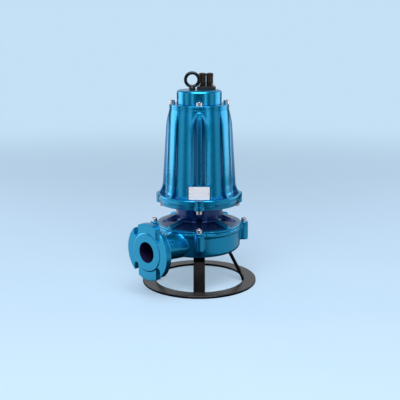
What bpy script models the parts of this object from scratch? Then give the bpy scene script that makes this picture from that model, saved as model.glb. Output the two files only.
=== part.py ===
"""A submersible sludge pump on a ring stand, in metres, with +Z up.

The outlet flange faces -X. The four legs, lugs, wide ribs and screws of each joint stand at the
diagonals, and the narrow ribs stand between them. The pump's axis is a parent empty, set off so
that the part's origin is the middle of its box on the floor.
"""

import math

import bmesh
import bpy
from mathutils import Matrix, Vector

# Gap left between two pieces that touch
GAP = 0.0003

# Directions round the axis, in degrees
FRONT, RIGHT, BACK, LEFT = 225.0, 315.0, 45.0, 135.0
DIAGONALS = {"front": FRONT, "right": RIGHT, "back": BACK, "left": LEFT}
BETWEEN = [0.0, 90.0, 180.0, 270.0]

# Ring stand
RING_OUTER, RING_INNER, RING_THICK = 0.195, 0.152, 0.008
LEG_WIDTH, LEG_THICK, LEG_LIFT = 0.038, 0.008, 0.0006
LEG_FOOT, LEG_KNEE, LEG_TOE = 0.155, 0.103, 0.058
LEG_SCREW_CIRCLE = 0.075

# Suction cover under the volute
COVER_BOTTOM, COVER_THICK, COVER_RADIUS = 0.1107, 0.008, 0.093
SUCTION_RADIUS = 0.036

# Volute
VOLUTE_BOTTOM, VOLUTE_TOP = 0.1190, 0.1997
VOLUTE_START, VOLUTE_END = 0.134, 0.1415
RIM_RADIUS, RIM_THICK = 0.1428, 0.012
WALL = 0.009
LUG_CIRCLE, LUG_RADIUS, LUG_BOTTOM = 0.152, 0.0148, 0.147
TOP_OPENING = 0.098

# Outlet, a 65 mm flange with four open slots
OUTLET_FACE, OUTLET_SIDE, OUTLET_HEIGHT = 0.2645, 0.0292, 0.160
OUTLET_FLANGE, OUTLET_THICK, OUTLET_RAISED = 0.0925, 0.020, 0.061
OUTLET_BORE, OUTLET_NECK, OUTLET_SWELL, SWELL_DROP = 0.034, 0.0405, 0.043, 0.0038
OUTLET_ROOT, RAISED_STEP = 0.104, 0.002
SLOT_CIRCLE, SLOT_WIDTH = 0.0725, 0.018

# Oil chamber bracket
BRACKET_BOTTOM, BRACKET_TOP = 0.200, 0.2927
PLATE_THICK, NECK_FOOT, NECK_TOP = 0.008, 0.076, 0.082
SHOULDER_HEIGHT, UPPER_RADIUS, UPPER_THICK, EAR_STEP = 0.0195, 0.136, 0.016, 0.0005

# Motor housing
HOUSING_BOTTOM, HOUSING_FLANGE, FLANGE_RADIUS = 0.293, 0.017, 0.140
EAR_CIRCLE, EAR_RADIUS = 0.128, 0.0165
BELL_TOP, BELL_TOP_RADIUS = 0.563, 0.1005
BELL_FOOT, BELL_FOOT_RADIUS = 0.345, 0.1160
COLLAR_BOTTOM, COLLAR_TOP, COLLAR_RADIUS = 0.567, 0.6070, 0.098
RIB_DEPTH = 0.006
CAP_SCREW_CIRCLE = 0.0885
PLATE_FACE, PLATE_BOTTOM, PLATE_TOP, PLATE_HALF, PAD_MARGIN = 0.1262, 0.3115, 0.3540, 0.0335, 0.003

# Cap
CAP_BOTTOM, CAP_TOP, CAP_RADIUS = 0.6073, 0.6525, 0.0735

# Screws, by thread radius, head radius, head height and socket across flats
M12 = (0.006, 0.009, 0.012, 0.010)
M10 = (0.005, 0.008, 0.010, 0.008)
M5 = (0.0025, 0.0043, 0.005, 0.004)

# Lifting eye and cable entry, by distance right of the axis as seen from the front
EYE_SIDE, EYE_NEAR, EYE_MIDDLE, EYE_BAR = -0.023, 0.004, 0.0327, 0.0047
EYE_RING = 0.0223
GLAND_SIDES, GLAND_NEAR, GLAND_BASE_HEIGHT, GLAND_TALL = (0.0105, 0.0345), -0.015, 0.010, 0.043
GLAND_BASE_LEFT, GLAND_BASE_RIGHT, GLAND_BASE_HALF = -0.0075, 0.0545, 0.017

AXIS_OFFSET = (OUTLET_FACE - RING_OUTER) / 2


def clear_scene():
    for obj in list(bpy.data.objects):
        bpy.data.objects.remove(obj)


def looks():
    """The materials, one Principled shader each."""
    table = {
        "bright blue paint": ((0.0, 0.30, 0.52, 1), 0.0, 0.30),
        "deep blue paint": ((0.004, 0.035, 0.16, 1), 0.0, 0.25),
        "black paint": ((0.006, 0.006, 0.008, 1), 0.0, 0.18),
        "stainless steel": ((0.62, 0.62, 0.64, 1), 1.0, 0.22),
        "turned steel": ((0.50, 0.50, 0.52, 1), 1.0, 0.35),
        "cast iron": ((0.10, 0.10, 0.11, 1), 0.6, 0.60),
        "aluminium plate": ((0.80, 0.81, 0.83, 1), 1.0, 0.30),
        "black rubber": ((0.015, 0.013, 0.012, 1), 0.0, 0.65),
        "dark brass": ((0.09, 0.06, 0.045, 1), 0.8, 0.40),
    }
    made = {}
    for name, (colour, metallic, roughness) in table.items():
        material = bpy.data.materials.new(name)
        material.use_nodes = True
        shader = material.node_tree.nodes["Principled BSDF"]
        shader.inputs["Base Color"].default_value = colour
        shader.inputs["Metallic"].default_value = metallic
        shader.inputs["Roughness"].default_value = roughness
        made[name] = material
    return made


def polar(radius, degrees, height=0.0):
    turn = math.radians(degrees)
    return Vector((radius * math.cos(turn), radius * math.sin(turn), height))


def turned(profile, segments=48):
    """A body turned about Z from a closed outline of (radius, height) points."""
    bm = bmesh.new()
    rings = []
    for radius, height in profile:
        if radius < 1e-9:
            rings.append([bm.verts.new((0, 0, height))] * segments)
        else:
            turns = [polar(radius, 360 * k / segments, height) for k in range(segments)]
            rings.append([bm.verts.new(point) for point in turns])
    skin(bm, rings + rings[:1])
    return finished(bm)


def skin(bm, rings):
    """Faces between each ring of vertices and the next."""
    for lower, upper in zip(rings, rings[1:]):
        for k in range(len(lower)):
            j = (k + 1) % len(lower)
            corners = list(dict.fromkeys([lower[k], lower[j], upper[j], upper[k]]))
            if len(corners) > 2:
                bm.faces.new(corners)


def lofted(sections):
    """A closed body through outlines that have the same number of points."""
    bm = bmesh.new()
    rings = [[bm.verts.new(point) for point in section] for section in sections]
    skin(bm, rings)
    bm.faces.new(rings[0])
    bm.faces.new(rings[-1])
    return finished(bm)


def finished(bm):
    bmesh.ops.recalc_face_normals(bm, faces=bm.faces)
    return bm


def prism(outline, bottom, top):
    return lofted([[(x, y, z) for x, y in outline] for z in (bottom, top)])


def circle(radius, segments, middle=(0.0, 0.0), phase=0.0):
    points = [polar(radius, phase + 360 * k / segments) for k in range(segments)]
    return [(p.x + middle[0], p.y + middle[1]) for p in points]


def box(low, high):
    (x0, y0, z0), (x1, y1, z1) = low, high
    return prism([(x0, y0), (x1, y0), (x1, y1), (x0, y1)], z0, z1)


def rod(radius, bottom, top, middle=(0.0, 0.0), segments=24):
    return prism(circle(radius, segments, middle), bottom, top)


def moved(bm, matrix):
    bm.transform(matrix)
    return bm


def rounded(degrees):
    """A turn about the pump's axis."""
    return Matrix.Rotation(math.radians(degrees), 4, "Z")


def along_outlet(bm):
    """Lays a body made along +Z along the outlet's axis, with +Z turned to -X."""
    place = Matrix.Translation((0, -OUTLET_SIDE, OUTLET_HEIGHT))
    return moved(bm, place @ Matrix.Rotation(-math.pi / 2, 4, "Y"))


def joined(base, tools, operation="UNION", solver="EXACT"):
    """The base with each tool united with it or cut from it."""
    holders = []
    for bm in [base, *tools]:
        mesh = bpy.data.meshes.new("work")
        bm.to_mesh(mesh)
        bm.free()
        holder = bpy.data.objects.new("work", mesh)
        bpy.context.scene.collection.objects.link(holder)
        holders.append(holder)
    for tool in holders[1:]:
        step = holders[0].modifiers.new("step", "BOOLEAN")
        step.operation = operation
        step.solver = solver
        step.object = tool
    graph = bpy.context.evaluated_depsgraph_get()
    result = bmesh.new()
    result.from_object(holders[0], graph)
    for holder in holders:
        bpy.data.meshes.remove(holder.data)
    return result


def cut(base, tools, solver="EXACT"):
    return joined(base, tools, "DIFFERENCE", solver)


def add_node(name, bm, look, degrees=0.0, sharp=32):
    """A named object on the pump's axis, turned by degrees, shaded smooth with sharp edges kept."""
    bmesh.ops.remove_doubles(bm, verts=bm.verts, dist=1e-6)
    finished(bm)
    mesh = bpy.data.meshes.new(name)
    bm.to_mesh(mesh)
    bm.free()
    mesh.shade_smooth()
    mesh.set_sharp_from_angle(angle=math.radians(sharp))
    mesh.materials.append(LOOKS[look])
    obj = bpy.data.objects.new(name, mesh)
    obj.parent = PUMP_AXIS
    obj.rotation_euler.z = math.radians(degrees)
    bpy.context.scene.collection.objects.link(obj)
    return obj


def socket_screw(size, length):
    """A socket head screw with its head's underside at height 0 and its shank below."""
    shank, head, height, flats = size
    edge = 0.1 * head
    profile = [(0, -length), (shank, -length), (shank, 0), (head, 0),
               (head, height - edge), (head - edge, height), (0, height)]
    socket = prism(circle(flats / math.sqrt(3), 6), height * 0.45, height * 1.5)
    return cut(turned(profile, 16), [socket])


def add_screws(name, size, length, circle_radius, seat, downward=True):
    """One screw at each diagonal, its head on the seat or, turned over, hanging under it."""
    for side, degrees in DIAGONALS.items():
        flip = Matrix.Identity(4) if downward else Matrix.Rotation(math.pi, 4, "X")
        place = Matrix.Translation((circle_radius, 0, seat)) @ flip
        add_node(f"{name}_{side}", moved(socket_screw(size, length), place),
                 "stainless steel", degrees)


def screw_holes(size, circle_radius, bottom, top):
    """Tools for the four holes that a ring of screws goes through."""
    shank = size[0] + GAP
    return [rod(shank, bottom, top, tuple(polar(circle_radius, degrees))[:2], 12)
            for degrees in DIAGONALS.values()]


def base_ring():
    edge = 0.001
    profile = [(RING_INNER, 0), (RING_OUTER, 0), (RING_OUTER, RING_THICK - edge),
               (RING_OUTER - edge, RING_THICK), (RING_INNER, RING_THICK)]
    half = LEG_WIDTH / 2 + GAP
    notch = ((RING_INNER - 0.006, -half, -0.01), (LEG_FOOT + GAP, half, 0.02))
    notches = [moved(box(*notch), rounded(degrees)) for degrees in DIAGONALS.values()]
    add_node("base_ring", cut(turned(profile, 72), notches), "black paint")


def leg_outline():
    """The strap's edge as (radius, height): upright in its notch, leaning in, then level."""
    top = COVER_BOTTOM - GAP
    slope = (LEG_FOOT - LEG_KNEE) / (top - RING_THICK)
    inset = LEG_THICK * math.hypot(1, slope)
    knee = top - LEG_THICK
    lean = LEG_FOOT - inset - slope * (knee - RING_THICK)
    corner = 0.005
    return [(LEG_FOOT, LEG_LIFT), (LEG_FOOT, RING_THICK),
            (LEG_KNEE + slope * corner, top - corner), (LEG_KNEE - corner, top),
            (LEG_TOE, top), (LEG_TOE, knee), (lean, knee),
            (LEG_FOOT - inset, RING_THICK), (LEG_FOOT - inset, LEG_LIFT)]


def legs():
    upright = Matrix.Rotation(math.pi / 2, 4, "X")
    bottom, top = COVER_BOTTOM - 0.02, COVER_BOTTOM + 0.01
    for side, degrees in DIAGONALS.items():
        strap = moved(prism(leg_outline(), -LEG_WIDTH / 2, LEG_WIDTH / 2), upright)
        hole = rod(M10[0] + GAP, bottom, top, (LEG_SCREW_CIRCLE, 0), 16)
        add_node(f"leg_{side}", cut(strap, [hole]), "black paint", degrees)
    seat = COVER_BOTTOM - GAP - LEG_THICK - GAP
    length = LEG_THICK + COVER_THICK + 0.006
    add_screws("leg_screw", M10, length, LEG_SCREW_CIRCLE, seat, downward=False)


def suction_cover():
    """The plate that closes the volute from below, with a flared mouth and a low spigot."""
    top = COVER_BOTTOM + COVER_THICK
    spigot, lip = 0.058, 0.005
    profile = [(SUCTION_RADIUS + 0.006, COVER_BOTTOM), (COVER_RADIUS - 0.002, COVER_BOTTOM),
               (COVER_RADIUS, COVER_BOTTOM + 0.002), (COVER_RADIUS, top),
               (spigot, top), (spigot, top + lip), (SUCTION_RADIUS, top + lip),
               (SUCTION_RADIUS, COVER_BOTTOM + 0.006)]
    holes = screw_holes(M10, LEG_SCREW_CIRCLE, COVER_BOTTOM - 0.01, top + 0.01)
    add_node("suction_cover", cut(turned(profile, 36), holes), "deep blue paint")


def spiral_body(inset, bottom, top, fillet, steps=40):
    """The snail shape: its radius grows clockwise from the outlet round to the outlet, and its
    lower edge grows sharper near the end."""
    middle_turns = [180 - 360 * k / steps for k in range(steps + 1)]
    sections = []
    for k, degrees in enumerate(middle_turns):
        radius = VOLUTE_START + (VOLUTE_END - VOLUTE_START) * k / steps - inset
        edge = fillet * min(1.0, max(0.4, 1 - 3 * (k / steps - 0.7)))
        arc = [(radius - edge + edge * math.cos(turn), bottom + edge - edge * math.sin(turn))
               for turn in (math.radians(90 * j / 3) for j in range(4))]
        sections.append([polar(r, degrees, z) for r, z in [(radius, top), *arc]])
    bm = bmesh.new()
    rings = [[bm.verts.new(point) for point in section] for section in sections]
    top_middle, bottom_middle = bm.verts.new((0, 0, top)), bm.verts.new((0, 0, bottom))
    first, last = rings[0], rings[-1]
    for one, other in zip(rings, rings[1:]):
        closing = [first] if other is last else []
        bm.faces.new([top_middle, one[0], other[0], *(ring[0] for ring in closing)])
        bm.faces.new([bottom_middle, one[-1], other[-1], *(ring[-1] for ring in closing)])
        for j in range(len(one) - 1):
            bm.faces.new((one[j], one[j + 1], other[j + 1], other[j]))
    bm.faces.new([*first, *reversed(last)])
    return finished(bm)


def outlet_flange():
    """The round outlet flange with its raised face, before its slots are cut."""
    back = OUTLET_FACE - RAISED_STEP - OUTLET_THICK
    front = OUTLET_FACE - RAISED_STEP
    profile = [(0, back), (OUTLET_FLANGE - 0.002, back), (OUTLET_FLANGE, back + 0.002),
               (OUTLET_FLANGE, front - 0.002), (OUTLET_FLANGE - 0.002, front),
               (OUTLET_RAISED, front), (OUTLET_RAISED, OUTLET_FACE), (0, OUTLET_FACE)]
    return along_outlet(turned(profile, 48))


def outlet_neck():
    """The neck, which swells and drops towards the casing, and widens where it meets the flange."""
    back = OUTLET_FACE - RAISED_STEP - OUTLET_THICK
    stations = [(OUTLET_ROOT, OUTLET_SWELL, SWELL_DROP), (OUTLET_ROOT + 0.020, OUTLET_SWELL, SWELL_DROP),
                (back - 0.030, OUTLET_NECK, 0), (back - 0.010, OUTLET_NECK, 0),
                (back - 0.004, OUTLET_NECK + 0.002, 0), (back + 0.001, OUTLET_NECK + 0.006, 0)]
    sections = [[(x, y, height) for x, y in circle(radius, 32, (-drop, 0))]
                for height, radius, drop in stations]
    return along_outlet(lofted(sections))


def slot_tool(side, turn):
    """A round-ended slot beside the middle, open straight up, or straight down when turned over."""
    half, offset = SLOT_WIDTH / 2, SLOT_CIRCLE * math.sqrt(0.5)
    arc = [(offset + p.x, side * offset + p.y) for p in (polar(half, 90 + 30 * k) for k in range(7))]
    end = OUTLET_FLANGE + 0.02
    outline = arc + [(end, side * offset - half), (end, side * offset + half)]
    back = OUTLET_FACE - RAISED_STEP - OUTLET_THICK
    return along_outlet(moved(prism(outline, back - 0.003, OUTLET_FACE + 0.01), rounded(turn)))


def lugs(radius, circle_radius, root, bottom, top):
    """Screw lugs, one at each diagonal: round outside, with straight sides in to the root."""
    arc = [(circle_radius + p.x, p.y) for p in (polar(radius, 20 * k - 90) for k in range(10))]
    outline = [(root, -radius), *arc, (root, radius)]
    return [moved(prism(outline, bottom, top), rounded(degrees)) for degrees in DIAGONALS.values()]


def volute_casing():
    rim = rod(RIM_RADIUS, VOLUTE_TOP - RIM_THICK, VOLUTE_TOP, segments=60)
    outside = [rim, outlet_neck(), outlet_flange()]
    outside += lugs(LUG_RADIUS, LUG_CIRCLE, 0.110, LUG_BOTTOM, VOLUTE_TOP)
    drum = spiral_body(0.0, VOLUTE_BOTTOM, VOLUTE_TOP - 0.004, 0.016)
    body = joined(drum, outside, "UNION", "MANIFOLD")
    floor, ceiling = VOLUTE_BOTTOM + WALL, VOLUTE_TOP - RIM_THICK
    root, end = OUTLET_ROOT, OUTLET_FACE + 0.01
    bore_profile = [(0, root), (OUTLET_BORE, root), (OUTLET_BORE, end), (0, end)]
    tools = [spiral_body(WALL + 0.001, floor, ceiling, 0.010, 32),
             along_outlet(turned(bore_profile, 32)),
             rod(TOP_OPENING, ceiling - 0.02, VOLUTE_TOP + 0.01, segments=60),
             rod(0.058 + GAP, VOLUTE_BOTTOM - 0.01, floor + 0.01, segments=36)]
    tools += [slot_tool(side, turn) for side in (-1, 1) for turn in (0, 180)]
    tools += screw_holes(M10, LEG_SCREW_CIRCLE, VOLUTE_BOTTOM - 0.01, VOLUTE_BOTTOM + 0.007)
    tools += screw_holes(M12, LUG_CIRCLE, VOLUTE_TOP - 0.032, VOLUTE_TOP + 0.01)
    add_node("volute_casing", cut(body, tools, "MANIFOLD"), "bright blue paint")


def gusset(half, inner, outer):
    """An upright rib from the neck down to the plate, between two (radius, height) points."""
    low = BRACKET_BOTTOM + 0.002
    outline = [(0.06, low), (outer[0], low), outer, inner, (0.06, inner[1])]
    upright = Matrix.Rotation(math.pi / 2, 4, "X")
    return moved(prism(outline, -half, half), upright)


def motor_bracket():
    """The oil chamber: a plate on the volute, a waisted neck, ribs and a flange under the motor."""
    plate_top = BRACKET_BOTTOM + PLATE_THICK
    shoulder = BRACKET_BOTTOM + SHOULDER_HEIGHT
    under = BRACKET_TOP - UPPER_THICK
    spigot, depth, shaft_bore = TOP_OPENING - GAP, 0.012, 0.0176
    profile = [(shaft_bore, BRACKET_BOTTOM - depth), (spigot, BRACKET_BOTTOM - depth),
               (spigot, BRACKET_BOTTOM), (RIM_RADIUS, BRACKET_BOTTOM), (RIM_RADIUS, plate_top),
               (RIM_RADIUS - 0.010, plate_top), (NECK_FOOT + 0.004, shoulder),
               (NECK_FOOT, shoulder + 0.005), (NECK_TOP, under - 0.006),
               (NECK_TOP + 0.028, under), (UPPER_RADIUS - 0.003, under), (UPPER_RADIUS, under + 0.003),
               (UPPER_RADIUS, BRACKET_TOP), (shaft_bore, BRACKET_TOP)]
    body = turned(profile, 48)
    tools = lugs(LUG_RADIUS, LUG_CIRCLE, 0.120, BRACKET_BOTTOM, plate_top)
    tools += lugs(EAR_RADIUS, EAR_CIRCLE, NECK_TOP + 0.03, under - EAR_STEP, BRACKET_TOP)
    tools += [moved(gusset(0.0055, (0.076, 0.232), (0.138, 0.2165)), rounded(degrees))
              for degrees in BETWEEN]
    tools += [moved(gusset(0.011, (0.076, 0.236), (0.124, 0.2120)), rounded(degrees))
              for degrees in DIAGONALS.values()]
    body = joined(body, tools)
    holes = screw_holes(M12, LUG_CIRCLE, BRACKET_BOTTOM - 0.01, plate_top + 0.01)
    holes += screw_holes(M12, EAR_CIRCLE, under - 0.01, BRACKET_TOP + 0.01)
    add_node("motor_bracket", cut(body, holes), "deep blue paint")


def bell_radius(height):
    """The tapering wall between the ribs."""
    share = (height - BELL_FOOT) / (BELL_TOP - BELL_FOOT)
    return BELL_FOOT_RADIUS + (BELL_TOP_RADIUS - BELL_FOOT_RADIUS) * share


def rib(face_half, root_half, limit=1.0):
    """A low rib up the bell, with sloping flanks, a slanted top and a foot that flares out."""
    flange_top = HOUSING_BOTTOM + HOUSING_FLANGE
    stations = [(BELL_TOP + 0.001, -0.001), (BELL_TOP - 0.006, RIB_DEPTH), (0.47, RIB_DEPTH),
                (BELL_FOOT, RIB_DEPTH), (0.334, RIB_DEPTH + 0.0015), (0.322, RIB_DEPTH + 0.0045),
                (flange_top - 0.004, RIB_DEPTH + 0.012)]
    sections = []
    for height, depth in stations:
        outer, inner = min(bell_radius(height) + depth, limit), bell_radius(height) - 0.012
        sections.append([(inner, -root_half, height), (outer, -face_half, height),
                         (outer, face_half, height), (inner, root_half, height)])
    return lofted(sections)


def nameplate_pad():
    """The flat that the nameplate sits on, standing proud of the front rib."""
    half = PLATE_HALF + PAD_MARGIN
    return box((0.09, -half, PLATE_BOTTOM - 2 * PAD_MARGIN), (PLATE_FACE, half, PLATE_TOP + PAD_MARGIN))


def motor_housing():
    """The motor's bell: a flange with four ears, a ribbed taper and a collar under the cap."""
    flange_top = HOUSING_BOTTOM + HOUSING_FLANGE
    profile = [(0, HOUSING_BOTTOM), (FLANGE_RADIUS - 0.001, HOUSING_BOTTOM),
               (FLANGE_RADIUS, HOUSING_BOTTOM + 0.001), (FLANGE_RADIUS, flange_top - 0.003),
               (FLANGE_RADIUS - 0.003, flange_top), (0.1275, flange_top),
               (0.1215, flange_top + 0.005), (0.1185, flange_top + 0.015),
               (BELL_FOOT_RADIUS, BELL_FOOT), (BELL_TOP_RADIUS, BELL_TOP),
               (COLLAR_RADIUS, COLLAR_BOTTOM), (COLLAR_RADIUS, COLLAR_TOP - 0.002),
               (COLLAR_RADIUS - 0.002, COLLAR_TOP), (0, COLLAR_TOP)]
    tools = lugs(EAR_RADIUS, EAR_CIRCLE, 0.09, HOUSING_BOTTOM, flange_top)
    tools += [moved(rib(0.009, 0.021), rounded(degrees)) for degrees in (RIGHT, BACK, LEFT)]
    tools.append(moved(rib(0.009, 0.021, PLATE_FACE - 0.001), rounded(FRONT)))
    tools += [moved(rib(0.0045, 0.010), rounded(degrees)) for degrees in BETWEEN]
    tools.append(moved(nameplate_pad(), rounded(FRONT)))
    body = joined(turned(profile, 56), tools)
    holes = screw_holes(M12, EAR_CIRCLE, HOUSING_BOTTOM - 0.01, HOUSING_BOTTOM + 0.014)
    holes += screw_holes(M12, CAP_SCREW_CIRCLE, COLLAR_TOP - 0.022, COLLAR_TOP + 0.01)
    holes.append(rod(0.0176, HOUSING_BOTTOM - 0.01, HOUSING_BOTTOM + 0.030, segments=24))
    add_node("motor_housing", cut(body, holes), "bright blue paint")


def nameplate():
    """A bare plate on the pad, with the heads of its two small rivets."""
    middle, back = (PLATE_BOTTOM + PLATE_TOP) / 2, PLATE_FACE + GAP
    plate = box((back, -PLATE_HALF, PLATE_BOTTOM), (back + 0.0012, PLATE_HALF, PLATE_TOP))
    lay = Matrix.Rotation(math.pi / 2, 4, "Y")
    rivets = []
    for side in (-1, 1):
        place = Matrix.Translation((back + 0.0005, side * (PLATE_HALF - 0.004), middle))
        rivets.append(moved(rod(0.0019, 0, 0.0016, segments=12), place @ lay))
    add_node("nameplate", joined(plate, rivets), "aluminium plate", FRONT)


def top_cap():
    profile = [(0, CAP_BOTTOM), (CAP_RADIUS, CAP_BOTTOM), (CAP_RADIUS, CAP_TOP - 0.0035),
               (CAP_RADIUS - 0.001, CAP_TOP - 0.001), (CAP_RADIUS - 0.0035, CAP_TOP), (0, CAP_TOP)]
    hole = rod(0.0045 + GAP, CAP_TOP - 0.015, CAP_TOP + 0.01, tuple(on_top(EYE_SIDE, EYE_NEAR))[:2], 16)
    add_node("top_cap", cut(turned(profile, 64), [hole]), "bright blue paint")


def on_top(right, near, height=0.0):
    """A point given by its distance right of the axis and nearer than it, seen from the front."""
    across, towards = polar(1, RIGHT), polar(1, FRONT)
    return across * right + towards * near + Vector((0, 0, height))


def facing_front(right, near, height):
    """A frame at that point with X to the right and Y away from the front."""
    return Matrix.Translation(on_top(right, near, height)) @ rounded(RIGHT)


def lifting_eye():
    """A ring on a collar, its hole facing the front, with a stud down into the cap."""
    bm = bmesh.new()
    around, across = 28, 10
    rings = []
    for k in range(around):
        turn = 2 * math.pi * k / around
        out = Vector((math.cos(turn), 0, math.sin(turn)))
        section = []
        for j in range(across):
            lean = 2 * math.pi * j / across
            point = out * (EYE_RING + EYE_BAR * math.cos(lean))
            section.append(bm.verts.new(point + Vector((0, EYE_BAR * math.sin(lean), EYE_MIDDLE))))
        rings.append(section)
    skin(bm, rings + rings[:1])
    collar_height = EYE_MIDDLE - EYE_RING
    collar = turned([(0, GAP), (0.0105, GAP), (0.0105, 0.006), (0.007, collar_height),
                     (0, collar_height)], 24)
    stud = rod(0.0045, -0.012, 0.002, segments=16)
    body = joined(finished(bm), [collar, stud])
    add_node("lifting_eye", moved(body, facing_front(EYE_SIDE, EYE_NEAR, CAP_TOP)), "black paint")


def gland_base():
    """The screwed plate under the two cable glands, with rounded ends."""
    corner = 0.008
    corners = [(GLAND_BASE_RIGHT - corner, GLAND_BASE_HALF - corner, 0),
               (GLAND_BASE_LEFT + corner, GLAND_BASE_HALF - corner, 90),
               (GLAND_BASE_LEFT + corner, corner - GLAND_BASE_HALF, 180),
               (GLAND_BASE_RIGHT - corner, corner - GLAND_BASE_HALF, 270)]
    outline = []
    for x, y, start in corners:
        for k in range(4):
            point = polar(corner, start + 90 * k / 3)
            outline.append((x + point.x, y + point.y))
    plate = prism(outline, GAP, GLAND_BASE_HEIGHT)
    low, high = GLAND_BASE_HEIGHT - 0.004, GLAND_BASE_HEIGHT + 0.01
    tools = [rod(0.0075 + GAP, low, high, (side, 0), 24) for side in GLAND_SIDES]
    tools += [rod(M5[0] + GAP, low - 0.003, high, spot, 12) for spot in gland_screw_spots()]
    add_node("gland_base", moved(cut(plate, tools), facing_front(0, GLAND_NEAR, CAP_TOP)), "cast iron")


def gland_screw_spots():
    return [(GLAND_BASE_LEFT + 0.0065, -0.0105), (GLAND_BASE_RIGHT - 0.0065, -0.0105)]


def cable_glands():
    """Each gland is a hexagon body in the plate, a domed nut on it and a rubber seal inside."""
    seat = GLAND_BASE_HEIGHT
    for number, side in enumerate(GLAND_SIDES, 1):
        place = facing_front(side, GLAND_NEAR, CAP_TOP)
        hexagon = prism(circle(0.0118, 6), seat + GAP, seat + 0.012)
        thread = rod(0.0075, seat - 0.0035, seat + 0.018, segments=20)
        opening = rod(0.0052, seat - 0.01, seat + 0.03, segments=16)
        body = cut(joined(hexagon, [thread]), [opening])
        add_node(f"gland_body_{number}", moved(body, place), "dark brass")
        low, high = seat + 0.012 + GAP, seat + GLAND_TALL
        nut = turned([(0.0075 + GAP, low), (0.0112, low), (0.0112, high - 0.006),
                      (0.0095, high - 0.0015), (0.0078, high), (0.0060, high),
                      (0.0060, seat + 0.0185), (0.0075 + GAP, seat + 0.0185)], 20)
        add_node(f"gland_nut_{number}", moved(nut, place), "dark brass")
        seal = turned([(0.0035, seat + 0.0190), (0.0060 - GAP, seat + 0.0190),
                       (0.0060 - GAP, high + 0.001), (0.0035, high + 0.001)], 16)
        add_node(f"gland_seal_{number}", moved(seal, place), "black rubber")
    for number, (x, y) in enumerate(gland_screw_spots(), 1):
        place = facing_front(x, GLAND_NEAR - y, CAP_TOP + seat + GAP)
        add_node(f"gland_screw_{number}", moved(socket_screw(M5, 0.006), place), "stainless steel")


def shaft():
    """The motor shaft, from the housing down to the impeller's nut."""
    step = VOLUTE_TOP - 0.016
    bottom = VOLUTE_BOTTOM + WALL + 0.012
    profile = [(0, bottom - 0.004), (0.006, bottom - 0.004), (0.006, bottom + 0.004),
               (0.0145, bottom + 0.004), (0.0145, step), (0.0173, step),
               (0.0173, HOUSING_BOTTOM + 0.029), (0, HOUSING_BOTTOM + 0.029)]
    add_node("shaft", turned(profile, 24), "turned steel")


def impeller():
    """A semi-open wheel: a back disc, a hub on the shaft and three swept vanes."""
    top = VOLUTE_TOP - 0.0165
    bottom = VOLUTE_BOTTOM + WALL + 0.0165
    disc = turned([(0.0148, bottom), (0.026, bottom), (0.030, top - 0.010), (0.088, top - 0.007),
                   (0.088, top), (0.0148, top)], 36)
    vanes = []
    for start in (0, 120, 240):
        spine = [polar(0.022 + 0.064 * k / 8, start - 110 * k / 8) for k in range(9)]
        outline = []
        for sign in (1, -1):
            points = spine if sign > 0 else spine[::-1]
            for point in points:
                across = Vector((-point.y, point.x, 0)).normalized()
                side = across * 0.55 + point.normalized() * 0.83
                spot = point + side * (0.0032 * sign)
                outline.append((spot.x, spot.y))
        vanes.append(prism(outline, bottom + 0.001, top - 0.005))
    add_node("impeller", joined(disc, vanes), "cast iron")


clear_scene()
LOOKS = looks()
PUMP_AXIS = bpy.data.objects.new("pump_axis", None)
PUMP_AXIS.location.x = AXIS_OFFSET
bpy.context.scene.collection.objects.link(PUMP_AXIS)

base_ring()
legs()
suction_cover()
volute_casing()
shaft()
impeller()
motor_bracket()
add_screws("volute_screw", M12, 0.036, LUG_CIRCLE, BRACKET_BOTTOM + PLATE_THICK + GAP)
motor_housing()
add_screws("housing_screw", M12, 0.028, EAR_CIRCLE, BRACKET_TOP - UPPER_THICK - EAR_STEP - GAP,
           downward=False)
nameplate()
top_cap()
add_screws("cap_screw", M12, 0.020, CAP_SCREW_CIRCLE, COLLAR_TOP + GAP)
lifting_eye()
gland_base()
cable_glands()
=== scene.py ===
# %% [markdown]
# # A sludge pump in gloss enamel
#
# The real pump is a stack of iron castings, screwed together and sprayed blue, that stands on a
# black ring with four flat legs. Its solids come ready made as the frame, at their real size. They
# are faceted, so this lesson makes each casting again with soft edges, and gives it its finish.

# %% Load the frame
import math

import bmesh
import bpy
from mathutils import Matrix, Vector


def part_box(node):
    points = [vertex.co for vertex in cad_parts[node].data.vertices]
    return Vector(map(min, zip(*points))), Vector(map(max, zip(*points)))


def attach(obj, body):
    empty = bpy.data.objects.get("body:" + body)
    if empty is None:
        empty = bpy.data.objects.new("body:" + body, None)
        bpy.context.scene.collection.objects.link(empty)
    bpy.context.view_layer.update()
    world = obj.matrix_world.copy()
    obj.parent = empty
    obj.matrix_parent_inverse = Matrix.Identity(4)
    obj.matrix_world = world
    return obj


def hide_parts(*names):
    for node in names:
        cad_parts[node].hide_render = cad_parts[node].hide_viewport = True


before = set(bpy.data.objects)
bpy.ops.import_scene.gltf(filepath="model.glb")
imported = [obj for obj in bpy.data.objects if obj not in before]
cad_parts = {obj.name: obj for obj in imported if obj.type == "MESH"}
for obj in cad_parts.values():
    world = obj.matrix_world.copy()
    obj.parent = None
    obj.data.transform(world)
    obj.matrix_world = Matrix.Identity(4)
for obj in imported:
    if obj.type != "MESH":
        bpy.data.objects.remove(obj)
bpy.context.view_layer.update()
print("solids in the frame:", len(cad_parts))

# %% [markdown]
# ## Where things stand
#
# Everything on this pump is turned round one upright axis, so that axis is found first, from the
# shaft's box. The screws, lugs, legs and wide ribs stand at the diagonals, and the narrow ribs
# between them. Sizes are in metres, and heights are above the floor. Pieces that touch keep a small
# gap, and a drill runs past what it cuts by a centimetre.

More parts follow.
